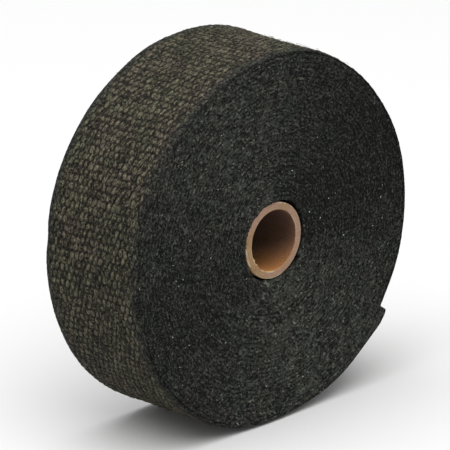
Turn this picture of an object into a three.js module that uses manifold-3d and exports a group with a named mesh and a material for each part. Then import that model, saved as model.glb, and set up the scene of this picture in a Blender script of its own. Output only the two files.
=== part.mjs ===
// A roll of woven heat wrap tape for exhaust pipes, wound on a cardboard core tube.
// Millimetres, +Z up. The roll stands on its tread: its axis runs along Y, its front
// end faces -Y, and the floor is at Z = 0.
import * as THREE from "three";
import { mergeVertices } from "three/addons/utils/BufferGeometryUtils.js";
import Module from "manifold-3d";

const wasm = await Module();
wasm.setup();

// The tape.
const tapeWidth = 50.8;
const tapeThickness = 1.81; // of one wound turn
const turnCount = 34;
const turnGrooveDepth = 0.8; // between the edges of neighbouring turns
const treadHollow = 0.5; // the last turn sags this much at the middle of its width

// The tape's loose end. Its angle is seen from the front: 0 at +X, 90 at the top.
const tailTipAngle = -35;
const tailLength = 55; // from where it leaves the tread to its cut end
const tailLift = 2.25; // clear space under the cut end
const tailEdgeBevel = 0.5;

// The core tube, cut to the width of the tape.
const coreBore = 25.4;
const coreWall = 3.2;
const coreEdgeBevel = 0.4;
const coreClearance = 0.3; // between the core and the first turn

// Facets.
const turnedSteps = 36; // round the roll and the core
const tailSteps = 8; // along the loose end

const coreOuterRadius = coreBore / 2 + coreWall;
const woundBoreRadius = coreOuterRadius + coreClearance;
const rollRadius = woundBoreRadius + turnCount * tapeThickness;
const halfWidth = tapeWidth / 2;
const halfFacet = Math.PI / turnedSteps;
const axisHeight = rollRadius * Math.cos(halfFacet); // one facet lies flat on the floor

const wrapMaterial = new THREE.MeshStandardMaterial({ color: 0x403e37, roughness: 0.95, metalness: 0 });
const coreMaterial = new THREE.MeshStandardMaterial({ color: 0xa8845f, roughness: 0.85, metalness: 0 });

function solidFrom(geometry) {
  geometry.deleteAttribute("normal");
  geometry.deleteAttribute("uv");
  const welded = mergeVertices(geometry);
  return new wasm.Manifold(
    new wasm.Mesh({
      numProp: 3,
      vertProperties: welded.attributes.position.array,
      triVerts: new Uint32Array(welded.index.array),
    }),
  );
}

function geometryFrom(solid) {
  const mesh = solid.getMesh();
  const geometry = new THREE.BufferGeometry();
  geometry.setAttribute("position", new THREE.BufferAttribute(mesh.vertProperties, 3));
  geometry.setIndex(new THREE.BufferAttribute(mesh.triVerts, 1));
  geometry.computeVertexNormals();
  return geometry;
}

// A closed (radius, Y) profile turned about the Y axis.
function turned(profile) {
  const closed = [...profile, profile[0]];
  const points = closed.map(([radius, y]) => new THREE.Vector2(radius, y));
  return new THREE.LatheGeometry(points, turnedSteps, halfFacet);
}

// One end of the winding from the bore outwards: a ridge for each turn's edge, with
// a groove beside it, and the last turn's edge rounded over half its thickness.
function endProfile(side) {
  const profile = [];
  for (let turn = 0; turn < turnCount; turn += 1) {
    const inner = woundBoreRadius + turn * tapeThickness;
    profile.push([inner, side * (halfWidth - turnGrooveDepth)]);
    profile.push([inner + tapeThickness / 2, side * halfWidth]);
  }
  const rim = tapeThickness / 2;
  const diagonal = rim * Math.SQRT1_2;
  profile.push([rollRadius - rim + diagonal, side * (halfWidth - rim + diagonal)]);
  profile.push([rollRadius, side * (halfWidth - rim)]);
  return profile;
}

// The tread between the two rims, hollow at the middle of the tape's width.
function treadProfile() {
  return [-0.5, 0, 0.5].map((share) => [
    rollRadius - treadHollow * (1 - share * share),
    share * halfWidth,
  ]);
}

function windingSolid() {
  const front = endProfile(-1);
  const back = endProfile(1).reverse();
  return solidFrom(turned([...front, ...treadProfile(), ...back]));
}

// The loose end leaves the tread on a wider spiral than the roll's own.
function tailSolid() {
  const tipAngle = THREE.MathUtils.degToRad(tailTipAngle);
  const rootAngle = tipAngle - tailLength / rollRadius;
  const rise = tailLift + tapeThickness;
  const outer = [];
  const inner = [];
  for (let step = 0; step <= tailSteps; step += 1) {
    const share = step / tailSteps;
    const angle = THREE.MathUtils.lerp(rootAngle, tipAngle, share);
    const direction = new THREE.Vector2(Math.cos(angle), Math.sin(angle));
    const radius = rollRadius + rise * share;
    outer.push(direction.clone().multiplyScalar(radius));
    inner.unshift(direction.clone().multiplyScalar(radius - tapeThickness));
  }
  const outline = new THREE.Shape([...outer, ...inner]);
  const geometry = new THREE.ExtrudeGeometry(outline, {
    depth: tapeWidth - 2 * tailEdgeBevel,
    bevelThickness: tailEdgeBevel,
    bevelSize: tailEdgeBevel,
    bevelOffset: -tailEdgeBevel,
    bevelSegments: 1,
  });
  geometry.rotateX(Math.PI / 2);
  geometry.translate(0, halfWidth - tailEdgeBevel, 0);
  return solidFrom(geometry);
}

function wrapRoll() {
  const geometry = geometryFrom(windingSolid().add(tailSolid()));
  const mesh = new THREE.Mesh(geometry, wrapMaterial);
  mesh.name = "wrap_roll";
  return mesh;
}

// The core's end profile, from its bore outwards, with both edges eased.
function coreTube() {
  const bore = coreBore / 2;
  const eased = halfWidth - coreEdgeBevel;
  const geometry = turned([
    [bore, -eased],
    [bore + coreEdgeBevel, -halfWidth],
    [coreOuterRadius - coreEdgeBevel, -halfWidth],
    [coreOuterRadius, -eased],
    [coreOuterRadius, eased],
    [coreOuterRadius - coreEdgeBevel, halfWidth],
    [bore + coreEdgeBevel, halfWidth],
    [bore, eased],
  ]);
  const mesh = new THREE.Mesh(geometry, coreMaterial);
  mesh.name = "core_tube";
  return mesh;
}

const roll = new THREE.Group();
roll.add(wrapRoll(), coreTube());
roll.position.z = axisHeight;

export default roll;
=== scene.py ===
# A roll of woven exhaust heat wrap on its cardboard core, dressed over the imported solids.
import math

import bpy
import numpy as np
from mathutils import Matrix, Vector


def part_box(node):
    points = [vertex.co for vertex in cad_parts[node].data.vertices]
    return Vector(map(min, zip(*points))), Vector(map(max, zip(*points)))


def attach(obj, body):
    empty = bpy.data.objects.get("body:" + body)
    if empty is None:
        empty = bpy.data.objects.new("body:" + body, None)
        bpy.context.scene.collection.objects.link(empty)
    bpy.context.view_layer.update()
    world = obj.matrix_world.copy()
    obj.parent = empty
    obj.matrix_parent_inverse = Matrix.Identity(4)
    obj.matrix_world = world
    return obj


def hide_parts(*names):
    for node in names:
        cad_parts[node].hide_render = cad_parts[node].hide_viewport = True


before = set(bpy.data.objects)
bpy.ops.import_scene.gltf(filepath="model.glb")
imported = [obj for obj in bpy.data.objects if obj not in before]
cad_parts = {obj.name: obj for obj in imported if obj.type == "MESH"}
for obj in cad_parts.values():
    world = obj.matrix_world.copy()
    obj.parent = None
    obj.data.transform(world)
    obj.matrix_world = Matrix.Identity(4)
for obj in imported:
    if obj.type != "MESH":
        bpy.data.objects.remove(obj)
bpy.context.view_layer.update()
mm = 0.001
print("frame loaded")

# The roll and the core as packed, in millimetres.
rollLow, rollHigh = np.array(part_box("wrap_roll")) / mm
coreLow, coreHigh = np.array(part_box("core_tube")) / mm
packedSides = 36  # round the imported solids, one of them flat on the floor
sideShare = math.cos(math.pi / packedSides)
rollRadius = (rollHigh[2] - rollLow[2]) / 2 / sideShare
rollCentre = (rollHigh[2] + rollLow[2]) / 2
halfWidth = (rollHigh[1] - rollLow[1]) / 2
coreRadius = (coreHigh[2] - coreLow[2]) / 2 / sideShare

# The tape as it is wound, in millimetres and degrees. Angles are seen from the front: 0 at +X, 90 at the top.
tape = {
    "turns": 34,
    "proud": 0.5,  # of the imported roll
    "tipAngle": -34.6,  # of the cut end
    "looseLength": 55,
    "looseRise": 4.05,  # of the cut end's outer face over the tread
    "cutThickness": 4.0,  # a cut end fluffs up
    "cutRounding": 1.1,
    "cutRoundingLength": 3.5,
    "coreGap": 0.3,
    "hollow": 0.5,  # of the tread at mid-width
    "rim": 2.2,  # how far in from its long edges the tread bends down
    "rimDrop": 0.9,
    "firstStep": 0.08,  # share of a turn in which the first turn climbs over the tape's inner end
}
treadRadius = rollRadius + tape["proud"]
tape["thickness"] = (treadRadius - coreRadius - tape["coreGap"]) / tape["turns"]

# Where the roll is out of round: angle, height and half-width of each dent or bulge in the outer turns.
dents = [(-88, -1.0, 14), (-50, -0.45, 7), (-30, -0.4, 6), (38, -0.4, 12), (96, -0.35, 6), (119, -0.3, 8)]
dents += [(156, 0.55, 15), (174, -0.7, 4), (70, 0.55, 11), (-145, 0.25, 12)]
dentTurns = 8  # turns below the tread until a dent has gone
frontSag = [(62, -0.75, 14)]  # of the last turn's front edge alone
endSwell = [(-37.5, 0.9, 5.2)]  # of the loose end alone, which is thicker there
# Where the first turns stand off the core, in the same way.
coreGaps = [(45, 1.3, 32), (232, 1.0, 26), (-10, 0.4, 22)]
coreGapTurns = 4


# Seeded chance and smooth noise, so that every run gives the same roll.
def chance(index, salt):
    bits = (np.asarray(index).astype(np.int64) * 374761393 + salt * 668265263) & 0xFFFFFFFF
    bits = ((bits ^ (bits >> 13)) * 1274126177) & 0xFFFFFFFF
    return ((bits ^ (bits >> 16)) & 0xFFFFFF) / float(0x1000000)


def cellIndex(x, y, z=0):
    return x * 73856093 + y * 19349663 + z * 83492791


def cloud(x, y, z, size, salt):
    cells, parts = [], []
    for value in (x, y, z):
        scaled = np.asarray(value, float) / size
        cell = np.floor(scaled)
        part = scaled - cell
        cells.append(cell.astype(np.int64))
        parts.append(part * part * (3 - 2 * part))
    total = 0.0
    for dx in (0, 1):
        shareX = parts[0] if dx else 1 - parts[0]
        for dy in (0, 1):
            shareY = parts[1] if dy else 1 - parts[1]
            for dz in (0, 1):
                shareZ = parts[2] if dz else 1 - parts[2]
                index = cellIndex(cells[0] + dx, cells[1] + dy, cells[2] + dz)
                total = total + shareX * shareY * shareZ * (2 * chance(index, salt) - 1)
    return total


def between(pair, share):
    return pair[0] + (pair[1] - pair[0]) * share


# The pair holds a base value and what is added to it as share goes from 0 to 1.
def vary(pair, share):
    return pair[0] + pair[1] * share


hidden = 0.3  # tone of hidden faces and the painted shade on them, and the last turn's edge value there
leastUnshaded = 0.02  # painted shade: the share of colour left in the deepest gaps


# The tape's path, by turns counted from the cut end inwards.
def turnAngle(turns):
    return math.radians(tape["tipAngle"]) - 2 * math.pi * turns


def humps(turns, places):
    degrees = np.degrees(turnAngle(turns))
    total = 0.0
    for centre, height, width in places:
        away = (degrees - centre + 180) % 360 - 180
        total = total + height * np.exp(-((away / width) ** 2))
    return total


looseShare = tape["looseLength"] / (2 * math.pi * treadRadius)
coveredTurns = 1 + looseShare + 0.015  # the last turn runs on until its own loose end hides it


def turnRadius(turns):
    whole = np.floor(turns)
    wide = looseShare * 1.08**whole
    narrow = tape["firstStep"] * 1.12 ** np.abs(tape["turns"] - whole)
    step = np.clip((turns - whole) / np.minimum(1, np.minimum(wide, narrow)), 0, 1)
    wound = treadRadius - tape["thickness"] * (whole - 1 + step)
    loose = treadRadius + tape["looseRise"] * (1 - step)
    outside = np.clip(1 - whole / dentTurns, 0, 1)
    inside = np.clip(1 - (tape["turns"] - turns) / coreGapTurns, 0, 1)
    return np.where(whole < 1, loose, wound) + humps(turns, dents) * outside + humps(turns, coreGaps) * inside


pathTurns = np.linspace(0, tape["turns"] + 1, (tape["turns"] + 1) * 720 + 1)
pathRadii = turnRadius(pathTurns)
pathSteps = (pathRadii[1:] + pathRadii[:-1]) * math.pi * (pathTurns[1] - pathTurns[0])
pathLength = np.concatenate([[0], np.cumsum(pathSteps)])


def lengthAt(turns):
    return np.interp(turns, pathTurns, pathLength)


def onRoll(turns, radius, across):
    angle, radius, across = np.broadcast_arrays(turnAngle(turns), radius, across)
    return np.stack([radius * np.cos(angle), across, rollCentre + radius * np.sin(angle)], -1)


# How far the edge of a turn lies inside the roll's own end: the outer turns droop, and each wanders a little.
edgeLie = {"proud": 0.3, "droop": 0.25, "droopTurns": 1.1, "wander": 0.3, "wanderSize": 26}


def edgeInset(turns, along, side):
    droop = edgeLie["droop"] * np.exp(-turns / edgeLie["droopTurns"])
    wander = edgeLie["wander"] * cloud(along, turns * 9, side, edgeLie["wanderSize"], 41)
    return droop - edgeLie["proud"] + wander


# Meshes from arrays. The attributes tell the materials what the surface is made of at each point, and where
# shade is painted into the colour.
def makeMesh(name, points, faceGroups, materials, flatGroups, attributes):
    mesh = bpy.data.meshes.new(name)
    mesh.vertices.add(len(points))
    mesh.vertices.foreach_set("co", (np.asarray(points, dtype=np.float32) * mm).ravel())
    corners = np.concatenate([group.ravel() for group in faceGroups]).astype(np.int32)
    sides = np.concatenate([np.full(len(group), group.shape[1]) for group in faceGroups])
    smooth = np.concatenate([np.full(len(group), n not in flatGroups) for n, group in enumerate(faceGroups)])
    mesh.loops.add(len(corners))
    mesh.loops.foreach_set("vertex_index", corners)
    mesh.polygons.add(len(sides))
    mesh.polygons.foreach_set("loop_start", (np.cumsum(sides) - sides).astype(np.int32))
    mesh.polygons.foreach_set("use_smooth", smooth)
    mesh.update(calc_edges=True)
    mesh.validate()
    for label, values in attributes.items():
        values = np.asarray(values, dtype=np.float32)
        vector = values.ndim == 2
        layer = mesh.attributes.new(label, "FLOAT_VECTOR" if vector else "FLOAT", "POINT")
        layer.data.foreach_set("vector" if vector else "value", values.ravel())
    for material in materials:
        mesh.materials.append(material)
    piece = bpy.data.objects.new(name, mesh)
    bpy.context.scene.collection.objects.link(piece)
    return piece


# Shader groups and materials.
def newMaterial(name):
    material = bpy.data.materials.new(name)
    material.use_nodes = True
    tree = material.node_tree
    return material, tree.nodes, tree.links, tree.nodes["Principled BSDF"]


def newGroup(name, inputs, outputs):
    group = bpy.data.node_groups.new(name, "ShaderNodeTree")
    for label, kind, value in inputs:
        socket = group.interface.new_socket(name=label, in_out="INPUT", socket_type=kind)
        if value is not None:
            socket.default_value = value
    for label, kind in outputs:
        group.interface.new_socket(name=label, in_out="OUTPUT", socket_type=kind)
    return group, group.nodes.new("NodeGroupInput"), group.nodes.new("NodeGroupOutput")


def attribute(nodes, label, output="Fac"):
    node = nodes.new("ShaderNodeAttribute")
    node.attribute_name = label
    return node.outputs[output]


def noise(tree, vector, scale, detail):
    node = tree.nodes.new("ShaderNodeTexNoise")
    node.inputs["Detail"].default_value = detail
    node.inputs["Scale"].default_value = scale
    tree.links.new(vector, node.inputs["Vector"])
    return node.outputs["Fac"]


def maths(tree, operation, first, second, third=None):
    node = tree.nodes.new("ShaderNodeMath")
    node.operation = operation
    for socket, value in zip(node.inputs, (first, second, third)):
        if isinstance(value, (int, float)):
            socket.default_value = value
        elif value is not None:
            tree.links.new(value, socket)
    return node.outputs[0]


def mixColours(tree, factor, first, second, blend="MIX"):
    node = tree.nodes.new("ShaderNodeMix")
    node.data_type = "RGBA"
    node.clamp_factor = False
    node.blend_type = blend
    for label, value in (("Factor", factor), ("A", first), ("B", second)):
        socket = [s for s in node.inputs if s.name == label and s.enabled][0]
        if isinstance(value, (int, float, tuple)):
            socket.default_value = value
        else:
            tree.links.new(value, socket)
    return [s for s in node.outputs if s.enabled][0]


def ramp(tree, value, low, high):
    node = tree.nodes.new("ShaderNodeMapRange")
    node.inputs["From Min"].default_value = low
    node.inputs["From Max"].default_value = high
    tree.links.new(value, node.inputs["Value"])
    return node.outputs["Result"]


yarnLook = {
    "grainScale": 1150,  # noise scales, per metre
    "speckScale": 950,
    "pitScale": 1250,
    "patchScale": 75,
    "grainTone": 3.0,
    "filamentTone": 1.6,
    "speckTone": 0.9,
    "pitShade": 0.75,
    "bumpStrength": 0.6,
    "bumpDepth": 0.2,
    "roughness": 0.72,
    "shine": 0.1,
}


# Yarn of glass filaments: each yarn has its own tone, filaments run along it,
# and patches take on a faint tint.
def yarnGroup():
    group, start, end = newGroup(
        "yarnFinish",
        [
            ("Place", "NodeSocketVector", None),
            ("Lay", "NodeSocketVector", None),
            ("Tone", "NodeSocketFloat", 0.5),
            ("Unshaded", "NodeSocketFloat", 1.0),
            ("Dark", "NodeSocketColor", (0.01, 0.01, 0.01, 1)),
            ("Light", "NodeSocketColor", (0.1, 0.1, 0.1, 1)),
            ("Warm", "NodeSocketColor", (1, 1, 1, 1)),
            ("Cool", "NodeSocketColor", (1, 1, 1, 1)),
        ],
        [("Color", "NodeSocketColor"), ("Height", "NodeSocketFloat")],
    )
    place, lay = start.outputs["Place"], start.outputs["Lay"]
    grain = noise(group, place, yarnLook["grainScale"], 2)
    filaments = noise(group, lay, 1, 2)
    specks = ramp(group, noise(group, place, yarnLook["speckScale"], 1), 0.68, 0.76)
    # painted shade: noise marks small pits, and the colour is darkened in them
    pits = ramp(group, noise(group, place, yarnLook["pitScale"], 1), 0.34, 0.43)
    patches = ramp(group, noise(group, place, yarnLook["patchScale"], 2), 0.38, 0.62)
    tints = mixColours(group, patches, start.outputs["Warm"], start.outputs["Cool"])
    grainTone, filamentTone = yarnLook["grainTone"], yarnLook["filamentTone"]
    uneven = maths(group, "MULTIPLY_ADD", grain, grainTone, -grainTone / 2)
    streaks = maths(group, "MULTIPLY_ADD", filaments, filamentTone, -filamentTone / 2)
    uneven = maths(group, "ADD", uneven, streaks)
    uneven = maths(group, "MULTIPLY_ADD", specks, yarnLook["speckTone"], uneven)
    toned = maths(group, "MAXIMUM", maths(group, "ADD", start.outputs["Tone"], uneven), 0.0)
    # painted shade: the tone is darkened by the share the mesh gives for low places in its relief
    lit = maths(group, "MULTIPLY", toned, start.outputs["Unshaded"])
    pitShaded = maths(group, "MULTIPLY_ADD", pits, yarnLook["pitShade"], 1 - yarnLook["pitShade"])
    lit = maths(group, "MULTIPLY", lit, pitShaded)
    plain = mixColours(group, lit, start.outputs["Dark"], start.outputs["Light"])
    group.links.new(mixColours(group, 1.0, plain, tints, "MULTIPLY"), end.inputs["Color"])
    group.links.new(maths(group, "ADD", grain, filaments), end.inputs["Height"])
    return group


yarnFinish = yarnGroup()
yarnColours = {
    "treadDark": (0.0035, 0.0033, 0.0024),
    "treadLight": (0.0955, 0.0885, 0.0625),
    "treadWarm": (1.06, 0.98, 1.0),
    "treadCool": (0.98, 1.0, 0.93),
    "edgeDark": (0.0026, 0.0027, 0.0025),
    "edgeLight": (0.09, 0.0935, 0.079),
    "edgeWarm": (1.04, 0.985, 1.0),
    "edgeCool": (0.94, 1.01, 0.99),
}


def heatYarn():
    material, nodes, links, shader = newMaterial("heatYarn")
    tree = material.node_tree
    yarn = nodes.new("ShaderNodeGroup")
    yarn.node_tree = yarnFinish
    coordinates = nodes.new("ShaderNodeTexCoord")
    links.new(coordinates.outputs["Object"], yarn.inputs["Place"])
    links.new(attribute(nodes, "lay", "Vector"), yarn.inputs["Lay"])
    links.new(attribute(nodes, "tone"), yarn.inputs["Tone"])
    links.new(attribute(nodes, "unshaded"), yarn.inputs["Unshaded"])
    edge = attribute(nodes, "edge")
    for label in ("Dark", "Light", "Warm", "Cool"):
        tread, side = (*yarnColours["tread" + label], 1), (*yarnColours["edge" + label], 1)
        links.new(mixColours(tree, edge, tread, side), yarn.inputs[label])
    links.new(yarn.outputs["Color"], shader.inputs["Base Color"])
    bump = nodes.new("ShaderNodeBump")
    bump.inputs["Strength"].default_value = yarnLook["bumpStrength"]
    bump.inputs["Distance"].default_value = yarnLook["bumpDepth"] * mm
    links.new(yarn.outputs["Height"], bump.inputs["Height"])
    links.new(bump.outputs["Normal"], shader.inputs["Normal"])
    shader.inputs["Roughness"].default_value = yarnLook["roughness"]
    shader.inputs["Specular IOR Level"].default_value = yarnLook["shine"]
    return material


yarnMaterial = heatYarn()


# The weave: warp floats stand proud, row behind row, and the weft shows only between them.
weave = {
    "ends": 38,
    "pick": 3.32,
    "floatHeight": 0.55,
    "floatLength": 1.57,  # half of it
    "floatWidth": 1.17,  # half of it
    "lean": 0.08,  # of every float, in radians
    "leanSpread": 0.5,
    "weftHeight": 0.11,
    "weftLevel": 0.06,
    "weftTone": (0.2, 0.3),
    "offCentre": (0.5, 0.4),  # of a float, along and across the tape
    "lengthShare": (0.82, 0.36),
    "widthShare": (0.76, 0.36),
    "liftShare": (0.72, 0.4),
    "outline": (2.2, 2.8),  # exponents along and across: the higher, the squarer
    "topRounding": 0.5,
    "floatTone": (0.29, 0.49),
    # painted shade: how the colour darkens where the weave's relief lies low
    "shadeDepth": 0.12,
    "shadeShare": 0.85,
    "shadePower": 1.45,
    "ridgeHeight": 0.06,
    "ridgeTone": 0.2,
    "sinkShare": 0.55,  # of a float's height, to bring the relief level with the tape
    "fineWander": (0.2, 0.16),  # along and across the tape
    "wander": 0.5,
    "unevenness": 0.1,
}
endPitch = 2 * halfWidth / weave["ends"]


def weaveRelief(along, across):
    fineAlong, fineAcross = weave["fineWander"]
    shiftAlong = weave["wander"] * cloud(along, across, 0, 13, 11)
    shiftAlong = shiftAlong + fineAlong * cloud(along, across, 0, 3.4, 12)
    shiftAcross = weave["wander"] * cloud(along, across, 0, 15, 13)
    shiftAcross = shiftAcross + fineAcross * cloud(along, across, 0, 2.8, 14)
    pick = (along + shiftAlong) / weave["pick"]
    end = (across + shiftAcross) / endPitch + weave["ends"] / 2
    row = np.floor(pick)
    height = weave["weftLevel"] - weave["weftHeight"] * (1 + np.cos(2 * math.pi * (pick - 0.5)))
    tone = vary(weave["weftTone"], chance(cellIndex(row, np.floor(end)), 20))
    for near in (-1, 0, 1):
        each = row + near
        odd = each % 2
        column = 2 * np.round((end - 0.5 - odd) / 2) + odd
        index = cellIndex(each, column)
        offAlong = weave["offCentre"][0] * (chance(index, 21) - 0.5)
        offAcross = weave["offCentre"][1] * (chance(index, 22) - 0.5)
        awayAlong = (pick - each - 0.5) * weave["pick"] + offAlong
        awayAcross = (end - column - 0.5) * endPitch + offAcross
        lean = weave["lean"] + weave["leanSpread"] * (chance(index, 27) - 0.5)
        awayAcross = awayAcross + awayAlong * lean
        length = weave["floatLength"] * vary(weave["lengthShare"], chance(index, 23))
        width = weave["floatWidth"] * vary(weave["widthShare"], chance(index, 24))
        outside = np.abs(awayAlong / length) ** weave["outline"][0]
        outside = outside + np.abs(awayAcross / width) ** weave["outline"][1]
        lift = weave["floatHeight"] * vary(weave["liftShare"], chance(index, 25))
        bump = lift * np.clip(1 - outside, 0, 1) ** weave["topRounding"]
        tone = np.where(bump > height, vary(weave["floatTone"], chance(index, 26)), tone)
        height = np.maximum(height, bump)
    # painted shade: the colour darkens between the floats, where the relief lies low
    unshadedShare = (height + weave["shadeDepth"]) / (weave["shadeShare"] * weave["floatHeight"])
    unshadedShare = np.clip(unshadedShare, leastUnshaded, 1) ** weave["shadePower"]
    ridges = cloud(along * 0.45, across, 0, 0.62, 17)
    height = height + weave["ridgeHeight"] * ridges
    tone = tone + weave["ridgeTone"] * ridges
    height = height + weave["unevenness"] * cloud(along, across, 1, 2.2, 15)
    height = height + 0.06 * cloud(along, across, 2, 0.8, 16)
    return height - weave["sinkShare"] * weave["floatHeight"], tone, unshadedShare


# An end of the roll: the edges of its turns, matted over with short strands that lie mostly along them.
matting = {
    "crevice": 0.5,  # depth between two turns
    "cell": 0.95,  # one strand to each cell of this size
    "halfLength": (0.45, 1.1),
    "halfWidth": (0.22, 0.42),
    "depth": 0.85,  # from a strand's back to its sides
    "top": (-0.8, 0.6),
    "spread": 2.3,  # radians between the strands that lie least alike
    "roughness": 0.2,
    "ground": 0.12,  # level of the turns' edges under the strands
    "groundTone": (0.3, 0.25),
    "strandTone": (0.1, 0.9),
    "toneBias": 1.6,  # the higher, the fewer bright strands
    # painted shade: how the colour darkens where the matting lies low
    "shadeDepth": 0.6,
    "shadePower": 1.7,
    "sink": 0.3,  # brings the relief level with the end
    "paintedSheen": 0.6,  # painted sheen: the tone is raised where the strands lie level and lowered where they stand, as the light falls from above
    "sheenTurn": 114,
    "sideShade": 0.27,  # painted light and shade: the ends are lighter towards one side of the roll and darker towards the other
    "sideShadeTurn": 240,
}


# The strands lie mostly along heading; share is 0 and 1 at the two sides of a turn.
def mattedRelief(x, z, heading, share, salt):
    crevice = matting["crevice"] * np.abs(2 * share - 1) ** 3 * (0.5 + 0.5 * cloud(x, z, salt, 5, 30))
    height = matting["ground"] - crevice
    tone = vary(matting["groundTone"], cloud(x, z, salt, 1.7, 29))
    cellX, cellZ = np.floor(x / matting["cell"]), np.floor(z / matting["cell"])
    for stepX in (-2, -1, 0, 1, 2):
        for stepZ in (-2, -1, 0, 1, 2):
            eachX, eachZ = cellX + stepX, cellZ + stepZ
            index = cellIndex(eachX, eachZ)
            awayX = x - (eachX + chance(index, salt + 1)) * matting["cell"]
            awayZ = z - (eachZ + chance(index, salt + 2)) * matting["cell"]
            lie = heading + matting["spread"] * (chance(index, salt + 3) - 0.5)
            alongStrand = awayX * np.cos(lie) + awayZ * np.sin(lie)
            acrossStrand = awayZ * np.cos(lie) - awayX * np.sin(lie)
            alongStrand = alongStrand / between(matting["halfLength"], chance(index, salt + 4))
            acrossStrand = acrossStrand / between(matting["halfWidth"], chance(index, salt + 5))
            top = between(matting["top"], chance(index, salt + 6))
            inside = np.clip(1 - alongStrand**4 - acrossStrand**2, 0, 1)
            bump = np.where(inside > 0, top - matting["depth"] * (1 - np.sqrt(inside)), -9)
            strandTone = vary(matting["strandTone"], chance(index, salt + 7) ** matting["toneBias"])
            tone = np.where(bump > height, strandTone, tone)
            height = np.maximum(height, bump)
    # painted shade: the colour darkens between the strands and in the crevices, where the relief lies low
    unshadedShare = np.clip(height + matting["shadeDepth"], leastUnshaded, 1) ** matting["shadePower"]
    height = height + matting["roughness"] * cloud(x, z, salt, 1.1, 31)
    height = height + 0.5 * matting["roughness"] * cloud(x, z, salt, 0.55, 32)
    return height - matting["sink"], tone, unshadedShare


def endRelief(x, z, share, side):
    heading = np.arctan2(z, x) + math.pi / 2
    height, tone, unshadedShare = mattedRelief(x, z, heading, share, 200 + 100 * side)
    angle = heading - math.pi / 2
    # painted sheen: the ends are lighter towards their top and bottom than at their sides
    level = matting["paintedSheen"] * np.cos(2 * (angle - math.radians(matting["sheenTurn"])))
    # painted light and shade: the ends are lighter towards the lower left and darker towards the upper right
    sideShaded = matting["sideShade"] * np.cos(angle - math.radians(matting["sideShadeTurn"]))
    return height, tone * (1 + level + sideShaded), unshadedShare


# The last turn, from its cut end round the roll and on beneath it: tread, both edges
# and the hidden inner face.
lastTurn = {
    "rowsPerPick": 6,
    "columnsPerEnd": 4,
    "edgeColumns": 5,
    "sectors": 3,
    "rimBlend": 4.2,  # width over which the weave gives way to matted strands
    "rimRagged": 2.2,
    "rimRelief": 0.45,  # of the matting there, against the ends
    "rimShadeAndSheen": (0.4, 0.85),  # the same for its tone, at the sides of the roll and at its top and bottom: painted shade darkens the rim, and painted sheen makes it lighter at the top and bottom
    "edgeBulge": (0.4, 0.1),  # of the long edges, in the outer half of the last turn and elsewhere
    "innerInset": 1.2,  # of the hidden inner face from the long edges
    "slack": 0.1,  # the inner face lies this much higher than the thickness says
}


# The rims bend down, but not where the loose end lies on them.
def rimDrop(turns, across):
    beyond = np.clip(np.abs(across) - (halfWidth - tape["rim"]), 0, 0.98 * tape["rim"])
    bare = np.clip(1 - (turns - 1) / 0.006, 0, 1)
    return bare * tape["rimDrop"] * (1 - np.sqrt(1 - (beyond / tape["rim"]) ** 2))


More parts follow.
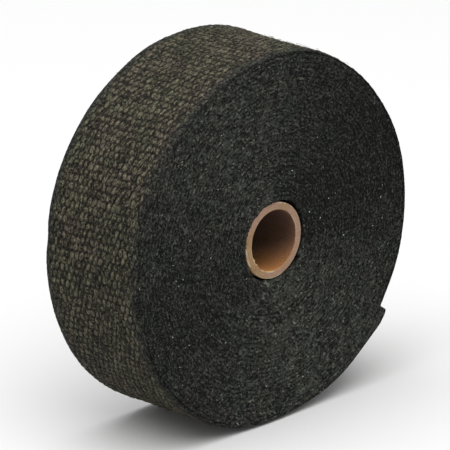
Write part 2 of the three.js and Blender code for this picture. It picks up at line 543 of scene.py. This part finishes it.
def lastTurnSection(turns):
    along, turns = lengthAt(turns)[:, None], turns[:, None]
    radius = turnRadius(turns)
    fluff = np.clip(1 - turns / looseShare, 0, 1)
    thickness = tape["thickness"] + (tape["cutThickness"] - tape["thickness"]) * fluff
    swell = humps(turns, endSwell) * (turns < 0.5)
    thickness, radius = thickness + swell, radius + swell
    rounded = np.clip(1 - along / tape["cutRoundingLength"], 0, 1)
    radius = radius - tape["cutRounding"] * (1 - np.sqrt(1 - 0.97 * rounded**2))
    count = weave["ends"] * lastTurn["columnsPerEnd"]
    across = np.linspace(-1, 1, count + 1)[None, :]
    insets = {side: edgeInset(turns, along, side) for side in (-1, 1)}
    widened = halfWidth + 0.1 - np.where(across < 0, insets[-1], insets[1])
    across = across * widened
    relief, tone, unshadedShare = weaveRelief(along, across)
    ragged = lastTurn["rimRagged"] * cloud(along, across, 3, 2.2, 51)
    blend = np.clip((np.abs(across) - halfWidth + lastTurn["rimBlend"] + ragged) / lastTurn["rimBlend"], 0, 1)
    matted, mattedTone, mattedUnshaded = mattedRelief(along + 0 * across, across + 0 * along, 0.3, 0.5, 700)
    # painted shade and sheen: the rim's matted tone is darkened, less so at the top and bottom of the roll
    rimShadeAndSheen = between(lastTurn["rimShadeAndSheen"], np.sin(turnAngle(turns)) ** 2)
    relief = relief + (lastTurn["rimRelief"] * matted - relief) * blend
    tone = tone + (rimShadeAndSheen * mattedTone - tone) * blend
    unshadedShare = unshadedShare + (mattedUnshaded - unshadedShare) * blend
    outer = radius - tape["hollow"] * (1 - (across / halfWidth) ** 2) - rimDrop(turns, across) + relief
    outer = outer + humps(turns, frontSag) * (0.5 - 0.5 * across / halfWidth)
    columns = {
        "radius": [outer],
        "level": [across + 0 * outer],
        "tone": [tone],
        "unshaded": [unshadedShare],
        "edge": [blend],
    }
    bend = np.linspace(0, math.pi, lastTurn["edgeColumns"] + 2)[1:-1][None, :]
    share = (1 - np.cos(bend)) / 2
    rim = {side: outer[:, column][:, None] for side, column in ((-1, 0), (1, -1))}
    inner = radius - thickness + lastTurn["slack"]
    for side in (-1, 1):
        sideRadius = rim[side] + (inner - rim[side]) * share
        angle = turnAngle(turns)
        x, z = sideRadius * np.cos(angle), sideRadius * np.sin(angle)
        uncreviced = (share < 0.5) | (turns < looseShare)
        height, sideTone, sideUnshaded = endRelief(x, z, np.where(uncreviced, 0.5, share), side)
        bulge = np.where((share < 0.5) & (turns < 1), *lastTurn["edgeBulge"]) * (1 - np.sin(bend))
        level = side * (halfWidth - insets[side] - bulge + height * np.sin(bend))
        order = slice(None, None, -1) if side < 0 else slice(None)
        parts = {
            "radius": sideRadius,
            "level": level,
            "tone": sideTone,
            "unshaded": sideUnshaded,
            "edge": 1 + 0 * level,
        }
        for label, values in parts.items():
            columns[label].insert(0 if side < 0 else len(columns[label]), values[:, order])
    inset = lastTurn["innerInset"]
    innerAcross = np.array([[halfWidth - inset, inset - halfWidth]])
    ends = inner + 0 * innerAcross
    columns["radius"].append(ends)
    columns["level"].append(innerAcross + 0 * ends)
    for label in ("tone", "unshaded", "edge"):
        columns[label].append(hidden + 0 * ends)
    section = {label: np.concatenate(values, 1) for label, values in columns.items()}
    section["points"] = onRoll(turns, section["radius"], section["level"])
    section["lay"] = layAlong(along + 0 * section["radius"], section["level"], section["radius"])
    return section


# Filament noise is stretched along the tape.
def layAlong(along, across, depth):
    return np.stack([along * 0.35, across * 2.2, depth * 2.2], -1)


def attributesOf(section):
    labels = ("tone", "unshaded", "edge")
    attributes = {label: section[label].ravel() for label in labels}
    attributes["lay"] = section["lay"].reshape(-1, 3)
    return attributes


def closedStrip(rows, columns):
    row, column = np.arange(rows - 1)[:, None], np.arange(columns)[None, :]
    following = (column + 1) % columns
    quads = [row * columns + following, row * columns + column]
    quads += [(row + 1) * columns + column, (row + 1) * columns + following]
    return np.stack(quads, -1).reshape(-1, 4)


def windLastTurn():
    rows = int(lengthAt(coveredTurns) / weave["pick"] * lastTurn["rowsPerPick"]) + 1
    turns = np.interp(np.linspace(0, lengthAt(coveredTurns), rows), pathLength, pathTurns)
    cuts = np.linspace(0, rows - 1, lastTurn["sectors"] + 1).astype(int)
    pieces = []
    for number, (first, last) in enumerate(zip(cuts[:-1], cuts[1:])):
        section = lastTurnSection(turns[first : last + 1])
        count, columns = section["tone"].shape
        loop = np.arange(columns)
        caps = np.stack([loop, (count - 1) * columns + loop[::-1]])
        points = section["points"].reshape(-1, 3)
        groups = [closedStrip(count, columns), caps]
        name = "last_turn_%d" % (number + 1)
        pieces.append(makeMesh(name, points, groups, [yarnMaterial], (1,), attributesOf(section)))
    return pieces


# The turns under it, in bands that show their edges on one end of the roll and are filled to its middle.
bands = {"borders": (9, 17, 26), "spacing": 0.55, "columns": 5}


def windBand(name, first, last, side):
    perTurn = int(2 * math.pi * turnRadius(np.array([first + 0.5]))[0] / bands["spacing"])
    columns = bands["columns"]
    total = int(round((last - first) * perTurn))
    index = np.arange(total + perTurn + 1)  # the turn past the end is the inner side of the last one
    turns = first + index / perTurn
    radius = turnRadius(turns)
    along = lengthAt(turns)
    rows = index[: total + 1]
    span = (radius[rows] - radius[rows + perTurn])[:, None]
    share = (np.arange(columns) / columns)[None, :]
    radii = radius[rows][:, None] - span * share
    angle = turnAngle(turns[rows])[:, None]
    x, z = radii * np.cos(angle), radii * np.sin(angle)
    height, tone, unshadedShare = endRelief(x, z, share, side)
    inset = edgeInset(turns, along, side)
    nextInset = inset[rows + perTurn][:, None]
    smooth = share * share * (3 - 2 * share)
    level = side * (halfWidth - inset[rows][:, None] * (1 - smooth) - nextInset * smooth + height)
    tail = index[total + 1 :]
    tailAngle = turnAngle(turns[tail])
    tailX, tailZ = radius[tail] * np.cos(tailAngle), radius[tail] * np.sin(tailAngle)
    tailHeight, tailTone, tailUnshaded = endRelief(tailX, tailZ, 0 * tailX + 1, side)
    tailLevel = side * (halfWidth - inset[tail] + tailHeight)
    points = [onRoll(turns[rows][:, None], radii, level).reshape(-1, 3)]
    points.append(onRoll(turns[tail], radius[tail], tailLevel))
    tones, unshadedParts = [tone.ravel(), tailTone], [unshadedShare.ravel(), tailUnshaded]
    lays = [layAlong(along[rows][:, None] + 0 * radii, level, radii).reshape(-1, 3)]
    lays.append(layAlong(along[tail], tailLevel, radius[tail]))
    tailStart = (total + 1) * columns

    def vertex(row, column):
        inside = row * columns + column
        under = row + perTurn  # the same place, one turn further in
        after = np.where(under <= total, under * columns, tailStart + under - total - 1)
        return np.where(column < columns, inside, after)

    row, column = np.arange(total)[:, None], np.arange(columns)[None, :]
    quads = [vertex(row, column), vertex(row, column + 1)]
    quads += [vertex(row + 1, column + 1), vertex(row + 1, column)]
    quads = np.stack(quads, -1).reshape(-1, 4)
    # both borders of the spiral, each closed by one step across a turn
    back = np.arange(columns - 1, 0, -1)
    outerRows, innerRows = np.arange(perTurn + 1), np.arange(total - perTurn, total + 1)
    outerLoop = np.concatenate([vertex(outerRows, 0 * outerRows), vertex(0, back)])
    innerLoop = np.concatenate([vertex(innerRows, 0 * innerRows + columns), vertex(total, back)])
    points = np.concatenate(points)
    size = len(outerLoop)
    deepLoops = []
    for loop in (outerLoop, innerLoop):
        deep = points[loop].copy()
        deep[:, 1] = 0
        deepLoops.append(deep)
        tones.append(np.full(size, hidden))
        unshadedParts.append(np.full(size, hidden))
        lays.append(np.zeros((size, 3)))
    outerDeep = len(points) + np.arange(size)
    innerDeep = outerDeep + size
    ahead = (np.arange(size) + 1) % size
    outerWall = np.stack([outerLoop, outerDeep, outerDeep[ahead], outerLoop[ahead]], -1)
    innerWall = np.stack([innerLoop, innerLoop[ahead], innerDeep[ahead], innerDeep], -1)
    floor = np.stack([outerDeep, innerDeep, innerDeep[ahead], outerDeep[ahead]], -1)
    groups = [quads, outerWall[:, ::-1], innerWall[:, ::-1], floor[:, ::-1]]
    if side > 0:
        groups = [group[:, ::-1] for group in groups]
    attributes = {"tone": np.concatenate(tones), "unshaded": np.concatenate(unshadedParts), "lay": np.concatenate(lays)}
    attributes["edge"] = np.ones(len(attributes["tone"]))
    everything = np.concatenate([points] + deepLoops)
    return makeMesh(name, everything, groups, [yarnMaterial], (1, 2, 3), attributes)


# Loose strands: thin three-sided threads that lie on the roll, dip into it at both ends and bend a little.
threads = {
    "perEnd": 4400,
    "endMargins": (1.0, 1.5),  # kept clear beside the core and the tread
    "endLength": (0.9, 3.2),
    "endRadius": (0.07, 0.16),
    "endTone": (0.15, 1.0),
    "endArch": (0.1, 0.35),
    "endBend": 0.35,  # share of a strand's length
    "endSpread": 2.0,  # radians between the strands that lie least alike
    "sunk": 0.55,  # deepest strand under the roll's own end
    "sunkSpread": 0.4,
    "tilt": 0.16,
    "tiltInwards": 0.35,  # share of the strands whose leading end leans in
    "glints": 0.03,  # share of the strands on the ends that are given a bright tone as painted glints
    "glintTone": 5.0,
    "glintLength": 0.8,
    "glintRadius": 0.23,
    "tufts": [(-107, 17.6), (-102, 18.2), (119, 18.8), (-47, 30.5)],  # angle and radius of bright bunches
    "perTuft": 12,
    "tuftSpread": (1.3, 1.6),  # away from the core and round it
    "tuftTone": (1.5, 5.5),
    "rings": (-1, -0.35, 0.35, 1),
}


def unit(vectors):
    return vectors / np.linalg.norm(vectors, axis=-1, keepdims=True)


def layThreads(name, centres, directions, outwards, lengths, radii, arches, bends, tones, edges):
    count, rings = len(centres), np.array(threads["rings"])
    sideways = unit(np.cross(directions, outwards))
    t = rings[None, :, None]
    path = centres[:, None] + directions[:, None] * (lengths[:, None, None] / 2 * t)
    path = path + sideways[:, None] * (bends[:, None, None] * t * t)
    path = path + outwards[:, None] * (arches[:, None, None] * (1 - t * t))
    thick = radii[:, None, None] * (1 - 0.5 * t * t)
    corners = []
    for corner in range(3):
        around = 2 * math.pi * corner / 3
        off = sideways[:, None] * math.sin(around) + outwards[:, None] * math.cos(around)
        corners.append(path + thick * off)
    points = np.stack(corners, 2)
    base = (np.arange(count) * len(rings) * 3)[:, None, None]
    ring, corner = np.arange(len(rings) - 1)[None, :, None] * 3, np.arange(3)[None, None, :]
    following = (corner + 1) % 3
    here, ahead = base + ring, base + ring + 3
    quads = np.stack([here + corner, here + following, ahead + following, ahead + corner], -1)
    last = 3 * (len(rings) - 1)
    starts = base[:, 0] + np.array([[2, 1, 0]])
    stops = base[:, 0] + last + np.array([[0, 1, 2]])
    each = len(rings) * 3
    flat = 0 * points[..., 0]
    apart = np.arange(count)[:, None, None] * 3.7  # each strand has filament noise of its own
    lay = np.stack([apart + flat, t + flat, 0.8 * corner + flat], -1)
    attributes = {
        "tone": np.repeat(tones, each),
        "unshaded": np.ones(count * each),
        "edge": np.repeat(edges, each),
        "lay": lay.reshape(-1, 3),
    }
    groups = [quads.reshape(-1, 4), np.concatenate([starts, stops])]
    return makeMesh(name, points.reshape(-1, 3), groups, [yarnMaterial], (), attributes)


def endThreads(name, side, salt):
    index = np.arange(threads["perEnd"])
    innerMargin, outerMargin = threads["endMargins"]
    low, high = (coreRadius + innerMargin) ** 2, (rollRadius - outerMargin) ** 2
    radius = np.sqrt(between((low, high), chance(index, salt)))
    angle = 2 * math.pi * chance(index, salt + 1)
    lie = angle + math.pi / 2 + threads["endSpread"] * (chance(index, salt + 2) - 0.5)
    tilt = threads["tilt"] * (chance(index, salt + 3) - threads["tiltInwards"])
    level = side * (halfWidth - threads["sunk"] + threads["sunkSpread"] * chance(index, salt + 4))
    centres = np.stack([radius * np.cos(angle), level, rollCentre + radius * np.sin(angle)], -1)
    directions = unit(np.stack([np.cos(lie), side * tilt, np.sin(lie)], -1))
    outwards = np.tile([0.0, side, 0.0], (len(index), 1))
    outwards = unit(outwards - directions * np.sum(outwards * directions, -1, keepdims=True))
    lengths = between(threads["endLength"], chance(index, salt + 5) ** 1.5)
    radii = between(threads["endRadius"], chance(index, salt + 6))
    arches = vary(threads["endArch"], chance(index, salt + 7))
    bends = lengths * threads["endBend"] * (chance(index, salt + 8) - 0.5)
    tones = vary(threads["endTone"], chance(index, salt + 9) ** 2)
    # painted glints: a few short, thick strands get a very bright tone
    glint = chance(index, salt + 10) < threads["glints"]
    tones = np.where(glint, threads["glintTone"], tones)
    lengths = np.where(glint, threads["glintLength"], lengths)
    radii = np.where(glint, threads["glintRadius"], radii)
    for number, (turned, away) in enumerate(threads["tufts"]):
        bunch = index // threads["perTuft"] == number
        spreadAway, spreadRound = threads["tuftSpread"]
        near = away + spreadAway * (chance(index, salt + 11) - 0.5)
        where = math.radians(turned) + spreadRound * (chance(index, salt + 12) - 0.5) / away
        place = np.stack([near * np.cos(where), level, rollCentre + near * np.sin(where)], -1)
        centres = np.where(bunch[:, None], place, centres)
        tones = np.where(bunch, vary(threads["tuftTone"], chance(index, salt + 13)), tones)
    edges = np.ones(len(index))
    return layThreads(name, centres, directions, outwards, lengths, radii, arches, bends, tones, edges)


treadStrands = {
    "count": 700,
    "turns": (0.01, 0.98),
    "margin": 1,  # kept clear along the edges
    "lift": 0.05,
    "liftSpread": 0.15,
    "length": (1.2, 3),
    "radius": (0.05, 0.1),
    "arch": (0.05, 0.3),
    "bend": 0.4,  # share of a strand's length
    "tone": (0.3, 0.9),
    "edge": 0.3,  # how far they take the colours of the ends
}


def treadThreads(name, salt):
    index = np.arange(treadStrands["count"])
    turns = vary(treadStrands["turns"], chance(index, salt))
    angle = turnAngle(turns)
    across = (2 * chance(index, salt + 1) - 1) * (halfWidth - treadStrands["margin"])
    hollow = tape["hollow"] * (1 - (across / halfWidth) ** 2)
    radius = turnRadius(turns) - hollow - rimDrop(turns, across) + treadStrands["lift"]
    radius = radius + treadStrands["liftSpread"] * chance(index, salt + 2)
    centres = onRoll(turns, radius, across)
    outwards = np.stack([np.cos(angle), 0 * angle, np.sin(angle)], -1)
    tangents = np.stack([-np.sin(angle), 0 * angle, np.cos(angle)], -1)
    lie = math.pi * chance(index, salt + 3)
    directions = tangents * np.cos(lie)[:, None] + np.array([[0, 1.0, 0]]) * np.sin(lie)[:, None]
    lengths = vary(treadStrands["length"], chance(index, salt + 4))
    radii = between(treadStrands["radius"], chance(index, salt + 5))
    arches = vary(treadStrands["arch"], chance(index, salt + 6))
    bends = lengths * treadStrands["bend"] * (chance(index, salt + 7) - 0.5)
    tones = vary(treadStrands["tone"], chance(index, salt + 8) ** 2)
    edges = treadStrands["edge"] + 0 * tones
    return layThreads(name, centres, directions, outwards, lengths, radii, arches, bends, tones, edges)


# The core tube: plies show on its cut ends, and a seam winds along its bore.
core = {
    "bore": 12.7,
    "around": 256,
    "plies": 6,
    "corner": 0.45,
    "plyEnd": 150,  # angle at which the outer ply ends
    "plyStep": 0.55,
    "plyRelief": 0.07,
    "endSink": 0.12,  # of the worn cut ends
    "endRows": 14,  # of faces across each cut end
    "wallRows": 24,  # of faces along the bore
    "wallInset": 1.2,
    "frayAt": 215,
    "frayWidth": 0.22,  # radians
    "frayDepth": 1.1,
    "seamLead": 46,  # along the bore for one time round
    "seamHeight": 0.14,
    "seamWidth": 0.7,
    "shade": 0.8,  # of the bore's upper right side
    "paintedLightAt": 248,  # where the painted shade in the bore is lifted most, as if light reached in
    "paintedLightWidth": 0.6,  # radians
    "pale": 0.9,
}
boardLook = {
    "mottleScale": 180,  # noise scales, per metre
    "fibreScale": 1500,
    "stainScale": 65,
    "ochreDark": (0.205, 0.116, 0.046, 1),
    "ochreLight": (0.275, 0.168, 0.082, 1),
    "stained": (0.275, 0.168, 0.118, 1),
    "fleck": (0.36, 0.25, 0.155, 1),
    "wear": (0.4, 0.34, 0.24, 1),
    "insideTint": (0.88, 0.6, 0.3, 1),  # this and the next multiply the board's colour
    # painted shade in the bore, darker and bluer with depth
    "boreShadeTint": (0.36, 0.42, 0.75, 1),
    "roughness": 0.8,
    "shine": 0.25,
    "bumpStrength": 0.35,
    "bumpDepth": 0.15,
}


def boardMaterial():
    material, nodes, links, shader = newMaterial("coreBoard")
    tree = material.node_tree
    coordinates = nodes.new("ShaderNodeTexCoord")
    place = coordinates.outputs["Object"]
    mottle = noise(tree, place, boardLook["mottleScale"], 4)
    fibre = noise(tree, place, boardLook["fibreScale"], 3)
    mottled = ramp(tree, mottle, 0.3, 0.7)
    ochre = mixColours(tree, mottled, boardLook["ochreDark"], boardLook["ochreLight"])
    stain = ramp(tree, noise(tree, place, boardLook["stainScale"], 1), 0.42, 0.6)
    pale = mixColours(tree, stain, ochre, boardLook["stained"])
    flecked = mixColours(tree, ramp(tree, fibre, 0.45, 0.8), pale, boardLook["fleck"])
    wear = maths(tree, "MULTIPLY", attribute(nodes, "worn"), ramp(tree, mottle, 0.5, 0.58))
    flecked = mixColours(tree, wear, flecked, boardLook["wear"])
    inside = mixColours(tree, attribute(nodes, "inside"), flecked, boardLook["insideTint"], "MULTIPLY")
    # painted shade: the bore is darkened by the deep attribute
    deep = mixColours(tree, attribute(nodes, "deep"), inside, boardLook["boreShadeTint"], "MULTIPLY")
    links.new(deep, shader.inputs["Base Color"])
    shader.inputs["Roughness"].default_value = boardLook["roughness"]
    shader.inputs["Specular IOR Level"].default_value = boardLook["shine"]
    bump = nodes.new("ShaderNodeBump")
    bump.inputs["Strength"].default_value = boardLook["bumpStrength"]
    bump.inputs["Distance"].default_value = boardLook["bumpDepth"] * mm
    links.new(fibre, bump.inputs["Height"])
    links.new(bump.outputs["Normal"], shader.inputs["Normal"])
    return material


def cutCore():
    bore, corner = core["bore"], core["corner"]
    ends = []
    for share in np.linspace(0, 1, 4)[:-1]:
        bend = share * math.pi / 2
        inwards, back = corner * (1 - math.cos(bend)), corner * (1 - math.sin(bend))
        ends.append((coreRadius - inwards, halfWidth - back, 0))
    for radius in np.linspace(coreRadius - corner, bore + corner, core["endRows"]):
        ends.append((radius, halfWidth, 0))
    for share in np.linspace(0, 1, 4)[1:]:
        bend = share * math.pi / 2
        outwards, back = corner * (1 - math.sin(bend)), corner * (1 - math.cos(bend))
        ends.append((bore + outwards, halfWidth - back, share))
    ends = np.array(ends)
    front = ends * [1, -1, 1]
    wallRows = core["wallRows"]
    walls = np.linspace(1, -1, wallRows + 2)[1:-1] * (halfWidth - core["wallInset"])
    inner = np.stack([np.full(wallRows, bore), -walls, np.ones(wallRows)], -1)
    back = ends[::-1]
    profile = np.concatenate([front, inner, back])
    angle = (np.arange(core["around"]) / core["around"] * 2 * math.pi)[:, None]
    radius, level, inside = profile[None, :, 0], profile[None, :, 1], profile[None, :, 2]
    plyShare = (radius - bore) / (coreRadius - bore)
    onEnd = np.clip((np.abs(level) - (halfWidth - 0.5)) / 0.5, 0, 1)
    x, z = radius * np.cos(angle), radius * np.sin(angle)
    plies = core["plyRelief"] * np.cos(2 * math.pi * core["plies"] * plyShare + 0.8 * np.sin(angle))
    ragged = 0.12 * cloud(x, z, level, 1.3, 61) + 0.06 * cloud(x, z, level, 0.6, 62)
    level = level - np.sign(level) * onEnd * (core["endSink"] - plies - ragged)
    radius = radius + 0.12 * cloud(12 * np.cos(angle), 12 * np.sin(angle), level, 9, 63)
    pastPlyEnd = (angle - math.radians(core["plyEnd"])) % (2 * math.pi)
    radius = radius + core["plyStep"] * np.clip(1 - pastPlyEnd / 1.4, 0, 1) * np.clip(plyShare, 0, 1) ** 2
    frayed = np.exp(-(((angle - math.radians(core["frayAt"])) / core["frayWidth"]) ** 2))
    frayed = frayed * (np.abs(level) > halfWidth - 1)
    radius = radius - core["frayDepth"] * inside * frayed * np.abs(cloud(x, z, level, 0.8, 64))
    lead = core["seamLead"]
    seam = (angle / (2 * math.pi) * lead + level) % lead - lead / 2
    ridge = core["seamHeight"] * np.exp(-((seam / core["seamWidth"]) ** 2))
    radius = radius + np.where(inside > 0.5, ridge, 0)
    x, z = radius * np.cos(angle), rollCentre + radius * np.sin(angle)
    points = np.stack(np.broadcast_arrays(x, level, z), -1)
    rows, columns = points.shape[:2]
    row, column = np.arange(rows)[:, None], np.arange(columns)[None, :]
    nextRow, nextColumn = (row + 1) % rows, (column + 1) % columns
    here, ahead = row * columns, nextRow * columns
    quads = [here + column, ahead + column, ahead + nextColumn, here + nextColumn]
    quads = np.stack(quads, -1).reshape(-1, 4)
    # painted shade: the bore darkens with depth and towards its upper right, and is lighter towards the lower
    # left where the light reaches in
    deep = np.clip(1 - np.abs(profile[None, :, 1]) / halfWidth, 0, 1) ** 0.7
    shaded = np.clip(0.6 + np.sin(angle) + 0.6 * np.cos(angle), 0, 1)
    deep = np.clip(deep + core["shade"] * shaded, 0, 1.1)
    paintedLight = np.exp(-(((angle - math.radians(core["paintedLightAt"])) / core["paintedLightWidth"]) ** 2))
    deep = inside * (deep - core["pale"] * paintedLight)
    fromBore = np.abs(profile[:, 0] - bore - corner / 2)
    fromOutside = np.abs(profile[:, 0] - coreRadius + corner / 2)
    corners = np.minimum(fromBore, fromOutside)
    atEnd = np.abs(profile[None, :, 1]) > halfWidth - corner
    worn = np.clip(1.6 - 2 * corners / corner, 0, 1)[None, :] * atEnd
    worn = np.maximum(worn, frayed * inside)
    labels = {"inside": inside, "deep": deep, "worn": worn}
    attributes = {label: (values + 0 * angle).ravel() for label, values in labels.items()}
    return makeMesh("core_board", points.reshape(-1, 3), [quads], [boardMaterial()], (), attributes)


print("winding the last turn")
tapePieces = windLastTurn()
print("winding the turns under it")
borders = (coveredTurns, *bands["borders"], tape["turns"])
for side, sideName in ((-1, "front"), (1, "back")):
    for number, (first, last) in enumerate(zip(borders[:-1], borders[1:])):
        tapePieces.append(windBand("turns_%s_%d" % (sideName, number + 1), first, last, side))
print("laying the loose strands")
tapePieces.append(endThreads("strands_front", -1, 500))
tapePieces.append(endThreads("strands_back", 1, 600))
tapePieces.append(treadThreads("strands_tread", 700))
for piece in tapePieces:
    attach(piece, "root")
    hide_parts("wrap_roll")

print("cutting the core")
board = cutCore()
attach(board, "root")
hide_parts("core_tube")

# Floor, light and camera.
studio = {
    "floorDrop": 0.45,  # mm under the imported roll, because the strands stand proud of it
    "floorSize": 6.0,
    "world": 0.62,
    "key": 182.0,
    "keyDistance": 3.2,
    "keySize": 4.0,
    "keyAzimuth": -58,
    "keyElevation": 72,
    "floorTone": 0.62,
}


def stageFloor():
    mesh = bpy.data.meshes.new("floor")
    half = studio["floorSize"] / 2
    level = (rollLow[2] - studio["floorDrop"]) * mm
    corners = [(-half, -half, level), (half, -half, level), (half, half, level), (-half, half, level)]
    mesh.from_pydata(corners, [], [(0, 1, 2, 3)])
    material, nodes, links, shader = newMaterial("paleFloor")
    tone = studio["floorTone"]
    shader.inputs["Base Color"].default_value = (tone, tone, tone, 1)
    shader.inputs["Roughness"].default_value = 0.9
    shader.inputs["Specular IOR Level"].default_value = 0.1
    mesh.materials.append(material)
    floor = bpy.data.objects.new("floor", mesh)
    bpy.context.scene.collection.objects.link(floor)


def areaLight(name, azimuth, elevation, distance, size, power):
    light = bpy.data.lights.new(name, "AREA")
    light.size = size
    light.energy = power
    lamp = bpy.data.objects.new(name, light)
    turn, rise = math.radians(azimuth), math.radians(elevation)
    away = Vector((math.sin(turn) * math.cos(rise), -math.cos(turn) * math.cos(rise), math.sin(rise)))
    lamp.location = Vector((0, 0, rollCentre * mm)) + away * distance
    lamp.rotation_euler = away.to_track_quat("Z", "Y").to_euler()
    bpy.context.scene.collection.objects.link(lamp)


# The view of the photograph: degrees round and above the roll, millimetres from its centre.
view = {
    "azimuth": -45.76,
    "elevation": 18.65,
    "distance": 2023.0,
    "right": 1.505,
    "up": -0.598,
    "lens": 400,
    "sensor": 36,
}


def placeCamera():
    turn, rise = math.radians(view["azimuth"]), math.radians(view["elevation"])
    back = Vector((math.sin(turn) * math.cos(rise), -math.cos(turn) * math.cos(rise), math.sin(rise)))
    right = (-back).cross(Vector((0, 0, 1))).normalized()
    up = right.cross(-back)
    aim = Vector((0, 0, rollCentre)) - view["right"] * right - view["up"] * up
    data = bpy.data.cameras.new("camera")
    data.lens = view["lens"]
    data.sensor_width = view["sensor"]
    camera = bpy.data.objects.new("camera", data)
    turned = Matrix((right, up, back)).transposed().to_4x4()
    camera.matrix_world = Matrix.Translation((aim + view["distance"] * back) * mm) @ turned
    bpy.context.scene.collection.objects.link(camera)
    bpy.context.scene.camera = camera


print("setting the stage")
stageFloor()
world = bpy.data.worlds.new("studio")
world.use_nodes = True
world.node_tree.nodes["Background"].inputs["Color"].default_value = (1, 1, 1, 1)
world.node_tree.nodes["Background"].inputs["Strength"].default_value = studio["world"]
bpy.context.scene.world = world
keyPlace = (studio["keyAzimuth"], studio["keyElevation"], studio["keyDistance"])
areaLight("key", *keyPlace, studio["keySize"], studio["key"])
placeCamera()
bpy.context.scene.view_settings.view_transform = "Standard"
